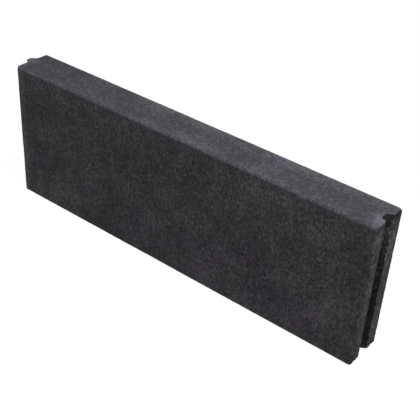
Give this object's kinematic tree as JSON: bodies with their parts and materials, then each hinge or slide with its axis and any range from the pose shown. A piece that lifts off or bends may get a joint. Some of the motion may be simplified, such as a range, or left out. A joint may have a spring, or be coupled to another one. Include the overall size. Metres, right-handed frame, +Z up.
{
  "type": "edging kerb",
  "caption": "Long, narrow pressed concrete edging kerb standing on edge: chamfered long top edges, a full-height tongue on one end and a matching groove in the other.",
  "frame": {"origin": "middle of the bed, the long narrow face that the kerb stands on", "axes": "+X along the kerb from the tongue end to the groove end, +Y through its thickness, +Z up"},
  "size_m": [1.0135, 0.1, 0.35],
  "materials": {
    "concrete": "matt, fine grained, as pressed"
  },
  "bodies": {
    "root": {"edging_kerb": "concrete"}
  },
  "joints": []
}
